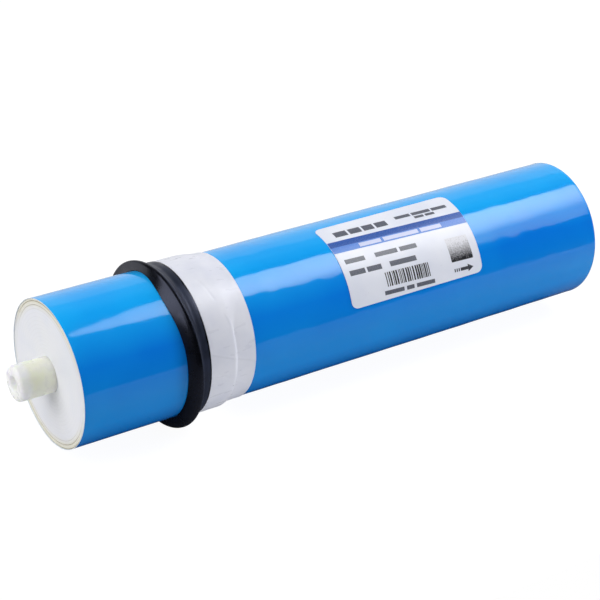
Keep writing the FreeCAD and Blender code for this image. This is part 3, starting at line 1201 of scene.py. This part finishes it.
    def add_arrow(self, mesh: Mesh, tail: float, head: float, middle: float,
                  ink: int) -> None:
        """Print the flow arrow, three bars, a shaft and a point.

        Args:
            mesh: the bmesh of the print.
            tail: where it starts along the element.
            head: where its point ends.
            middle: where its middle line lies round the element.
            ink: the material number of its ink.
        """
        for k in range(3):
            left = tail + 1.25 * k
            self.add_bar(mesh, (left, left + 0.7), (middle - 0.8, middle + 0.8), ink)
        neck = head - 3.2
        self.add_bar(mesh, (tail + 3.8, neck), (middle - 0.8, middle + 0.8), ink)
        self.add_patch(mesh, ((neck, middle - 1.9), (head, middle - 0.05),
                              (head, middle + 0.05), (neck, middle + 1.9)), ink)


@dataclass
class SealingRing:
    """Round rubber ring in one of the spigot's grooves."""

    name: str
    node: str
    middle: float
    centre_radius: float = 7.9
    section_radius: float = 0.97
    steps: int = 96
    flats: int = 24

    def build(self, rubber: Material) -> Piece:
        """Make the ring.

        Args:
            rubber: its material.

        Returns:
            The piece.
        """
        outline = [(self.middle + self.section_radius * math.cos(a),
                    self.centre_radius + self.section_radius * math.sin(a))
                   for a in even_angles(self.flats)]
        return finish_piece(self.name, lathe(outline, even_angles(self.steps)), [rubber],
                            [self.node], 80)


# Studio


@dataclass(frozen=True)
class SoftLamp:
    """A square lamp, most often one that has no mirror image in the film."""

    name: str
    place: Triple
    size: float
    watts: float
    mirrored: bool = False

    def build(self, target: Vector) -> Piece:
        """Hang the lamp and aim it.

        Args:
            target: the point that it faces.

        Returns:
            The lamp.
        """
        data = bpy.data.lights.new(self.name, "AREA")
        data.shape = "SQUARE"
        data.size = self.size
        data.energy = self.watts
        lamp = bpy.data.objects.new(self.name, data)
        lamp.location = self.place
        lamp.rotation_euler = (target - lamp.location).to_track_quat("-Z", "Y").to_euler()
        lamp.visible_camera = False
        lamp.visible_glossy = self.mirrored
        bpy.context.scene.collection.objects.link(lamp)
        return lamp


def ray_shares(tree: Tree) -> tuple[Socket, Socket]:
    """Tell what kind of ray meets a stage piece or the world.

    Args:
        tree: the node tree.

    Returns:
        The share that the camera sees, straight or through a piece, and the share of a mirrored
        ray.
    """
    camera = add_node(tree, "LightPath", output="Is Camera Ray")
    through = add_node(tree, "LightPath", output="Is Transmission Ray")
    seen = add_node(tree, "Math", {0: camera, 1: through}, operation="ADD", use_clamp=True)
    return seen, add_node(tree, "LightPath", output="Is Glossy Ray")


@dataclass
class Studio:
    """White table, softbox, plain lamps and the camera at the photograph's angle.

    Places are in metres. A pair that ends in reach says where a change starts and where it is
    full, and one that ends in glow says how bright the start and the end are.
    """

    floor_z: float = -(WRAP_RADIUS + 6.1) * MM
    floor_x: Span = (-1.6, 1.4)
    floor_y: Span = (-0.2, 1.4)
    floor_white: float = 0.95
    floor_bounce: float = 0.58
    floor_mirror: float = 0.6
    mirror_reach: Span = (0.0, 0.12)
    table_tone: str = "#A8A9AD"
    outlet_painted_light_tone: str = "#D4D5D9"
    outlet_reach: Span = (-0.1, 0.12)
    feed_painted_shade_tone: str = "#3C3D40"
    feed_reach: Span = (-0.26, -0.4)
    under_painted_shade_tone: str = "#66676A"
    back_reach: Span = (-0.07, -0.01)
    camera_place: Triple = (-0.6055, -0.6351, 0.3703)
    camera_right: Triple = (0.8304, -0.5572, 0.0)
    camera_down: Triple = (-0.2426, -0.3616, -0.9003)
    lens: float = 104.23
    sensor: float = 36.0
    target: Triple = (-0.16, 0.0, 0.0)
    softbox_z: float = 1.0
    softbox_corners: tuple[Span, ...] = (
        (0.072, -0.278), (0.172, 0.02), (1.5, 0.05), (1.42, -1.62))
    hot_spot: Triple = (0.58, -0.28, 1.0)
    hot_reach: Span = (0.1, 0.65)
    hot_glow: Span = (5.9, 1.8)
    behind: Triple = (0.6, 1.0, -0.9)
    ceiling_reach: Span = (-0.32, 0.1)
    ceiling_glow: Span = (0.02, 0.26)
    backdrop_reach: Span = (0.28, 0.42)
    backdrop_glow: Span = (0.0, 0.4)
    horizon_reach: Span = (0.6, 1.05)
    horizon_glow: Span = (0.0, 0.2)
    dim_reach: Span = (-0.5, 0.2)
    dim_glow: Span = (0.15, 1.0)
    outlet_side: Triple = (0.9, -0.35, 0.0)
    light_reach: Span = (-0.5, 0.9)
    light_glow: Span = (0.12, 0.18)
    lamps: tuple[SoftLamp, ...] = (
        SoftLamp("feed_end_softbox", (-1.165, 0.06, 0.72), 1.1, 11.3, mirrored=True),
        SoftLamp("outlet_end_softbox", (1.75, -1.3, 0.16), 0.8, 15.2),
        SoftLamp("overhead_softbox", (-0.1, 0.6, 1.1), 0.8, 2.9))

    def build(self) -> None:
        """Make the floor, the lights, the world and the camera."""
        self.add_camera()
        self.add_floor()
        self.add_softbox()
        for lamp in self.lamps:
            lamp.build(Vector(self.target))
        self.light_world()
        bpy.context.scene.view_settings.view_transform = "Standard"
        LOG.info("studio: floor, softbox, %d lamps and camera", len(self.lamps))

    def add_camera(self) -> None:
        """Set the camera where the photograph was taken from."""
        data = bpy.data.cameras.new("photo_camera")
        data.lens = self.lens
        data.sensor_width = self.sensor
        camera = bpy.data.objects.new("photo_camera", data)
        right, up = Vector(self.camera_right).normalized(), -Vector(self.camera_down)
        back = right.cross(up).normalized()
        turn = Matrix((right, back.cross(right), back)).transposed()
        camera.matrix_world = Matrix.Translation(self.camera_place) @ turn.to_4x4()
        bpy.context.scene.collection.objects.link(camera)
        bpy.context.scene.camera = camera

    def add_card(self, name: str, corners: Sequence[Span], height: float,
                 material: Material) -> Piece:
        """Add a flat, level stage piece.

        Args:
            name: its name.
            corners: x and y of its corners in order, in metres.
            height: its z, in metres.
            material: its material.

        Returns:
            The object.
        """
        data = bpy.data.meshes.new(name)
        data.from_pydata([(x, y, height) for x, y in corners], [], [range(len(corners))])
        data.materials.append(material)
        card = bpy.data.objects.new(name, data)
        bpy.context.scene.collection.objects.link(card)
        return card

    def add_floor(self) -> None:
        """Lay the white table, which keeps a faint shadow and is white to the camera.

        Its tone holds painted light towards the outlet end, and painted shade towards the feed end
        and under and behind the element.
        """
        material = bpy.data.materials.new("white_table_laminate")
        tree = clear_tree(material)
        seen, glossy = ray_shares(tree)
        bounced = add_node(tree, "Mix", {0: seen, 2: self.floor_bounce, 3: self.floor_white})
        place = add_node(tree, "TexCoord", output="Object")
        along = add_node(tree, "SeparateXYZ", {0: place}, "X")
        depth = add_node(tree, "SeparateXYZ", {0: place}, "Y")
        behind = add_node(tree, "MapRange", {
            "Value": depth, "From Min": self.mirror_reach[0], "From Max": self.mirror_reach[1],
            "To Max": self.floor_mirror})
        strength = add_node(tree, "Mix", {0: glossy, 2: bounced, 3: behind})
        glow = add_node(tree, "Emission", {"Color": linear("#FFFFFF"), "Strength": strength})
        # Painted light on the table towards the outlet end; painted shade towards the feed end and
        # under and behind the element.
        colour = layered_colour(tree, self.table_tone, (
            (along, self.outlet_reach, self.outlet_painted_light_tone),
            (along, self.feed_reach, self.feed_painted_shade_tone),
            (depth, self.back_reach, self.under_painted_shade_tone)))
        lit = add_node(tree, "BsdfDiffuse", {"Color": colour})
        both = add_node(tree, "AddShader", {0: lit, 1: glow})
        add_node(tree, "OutputMaterial", {"Surface": both})
        (left, right), (front, back) = self.floor_x, self.floor_y
        self.add_card("table_floor", ((left, front), (right, front), (right, back),
                                      (left, back)), self.floor_z, material)

    def add_softbox(self) -> None:
        """Hang the softbox that the film mirrors, brightest before its lamp."""
        material = bpy.data.materials.new("softbox_cloth")
        tree = clear_tree(material)
        place = add_node(tree, "TexCoord", output="Object")
        away = add_node(tree, "VectorMath", {0: place, 1: self.hot_spot}, "Value",
                        operation="DISTANCE")
        strength = add_node(tree, "MapRange", {
            "Value": away, "From Min": self.hot_reach[0], "From Max": self.hot_reach[1],
            "To Min": self.hot_glow[0], "To Max": self.hot_glow[1]},
            interpolation_type="SMOOTHSTEP")
        glow = add_node(tree, "Emission", {"Color": linear("#FFFFFF"), "Strength": strength})
        add_node(tree, "OutputMaterial", {"Surface": glow})
        card = self.add_card("softbox_card", self.softbox_corners, self.softbox_z, material)
        card.visible_camera = False

    def light_world(self) -> None:
        """Make the surroundings: white to the camera, with a bright backdrop in the mirror."""
        world = bpy.data.worlds.new("studio_surroundings")
        bpy.context.scene.world = world
        tree = clear_tree(world)
        seen, glossy = ray_shares(tree)
        place = add_node(tree, "TexCoord", output="Generated")
        behind = add_node(tree, "VectorMath", {0: place, 1: self.behind}, "Value",
                          operation="DOT_PRODUCT")
        beside = add_node(tree, "VectorMath", {0: place, 1: self.outlet_side}, "Value",
                          operation="DOT_PRODUCT")
        x = add_node(tree, "SeparateXYZ", {0: place}, "X")
        ceiling, backdrop, horizon, dim, lighting = (add_node(tree, "MapRange", {
            "Value": value, "From Min": reach[0], "From Max": reach[1], "To Min": level[0],
            "To Max": level[1]}, interpolation_type=change) for value, reach, level, change in (
                (behind, self.ceiling_reach, self.ceiling_glow, "LINEAR"),
                (behind, self.backdrop_reach, self.backdrop_glow, "SMOOTHSTEP"),
                (behind, self.horizon_reach, self.horizon_glow, "LINEAR"),
                (x, self.dim_reach, self.dim_glow, "LINEAR"),
                (beside, self.light_reach, self.light_glow, "LINEAR")))
        lower = add_node(tree, "Math", {0: ceiling, 1: backdrop}, operation="ADD")
        whole = add_node(tree, "Math", {0: lower, 1: horizon}, operation="ADD")
        mirrored = add_node(tree, "Math", {0: whole, 1: dim}, operation="MULTIPLY")
        around = add_node(tree, "Mix", {0: glossy, 2: lighting, 3: mirrored})
        strength = add_node(tree, "Mix", {0: seen, 2: around, 3: 1.0})
        sky = add_node(tree, "Background", {"Color": linear("#FFFFFF"), "Strength": strength})
        add_node(tree, "OutputWorld", {"Surface": sky})


def main() -> None:
    """Build every piece in order."""
    logging.basicConfig(level=logging.INFO, format="%(message)s")
    Studio().build()
    TapeWrap().build(TapeFilm().build(), CutFilmEdge().build())
    LeafRoll().build(CutLeafEdge().build())
    tube = ProductTube()
    tube.build(NaturalPolymer().build())
    # The lighter lavender grey rubber for the seal's rear flank is painted sheen.
    painted_sheen_rubber = NitrileRubber("painted_sheen_nitrile_rubber", colour="#1D2331", dust_and_sheen_tone="#272E42",
                            roughness=0.4)
    BrineSeal().build(NitrileRubber().build(), painted_sheen_rubber.build())
    SealBand().build(VinylTape().build())
    label = Label()
    label.build(LabelFilm().build())
    inks = {ink: PrintedInk(f"printed_{ink.name.lower()}_ink", ink).build() for ink in Ink}
    label.build_print(inks, HalftoneInk().build())
    ring_rubber = NitrileRubber("greased_nitrile_rubber", roughness=0.2).build()
    inner, outer = tube.ring_middles
    SealingRing("inner_sealing_ring", "inner_ring", inner).build(ring_rubber)
    SealingRing("outer_sealing_ring", "outer_ring", outer).build(ring_rubber)


if __name__ == "__main__":
    main()
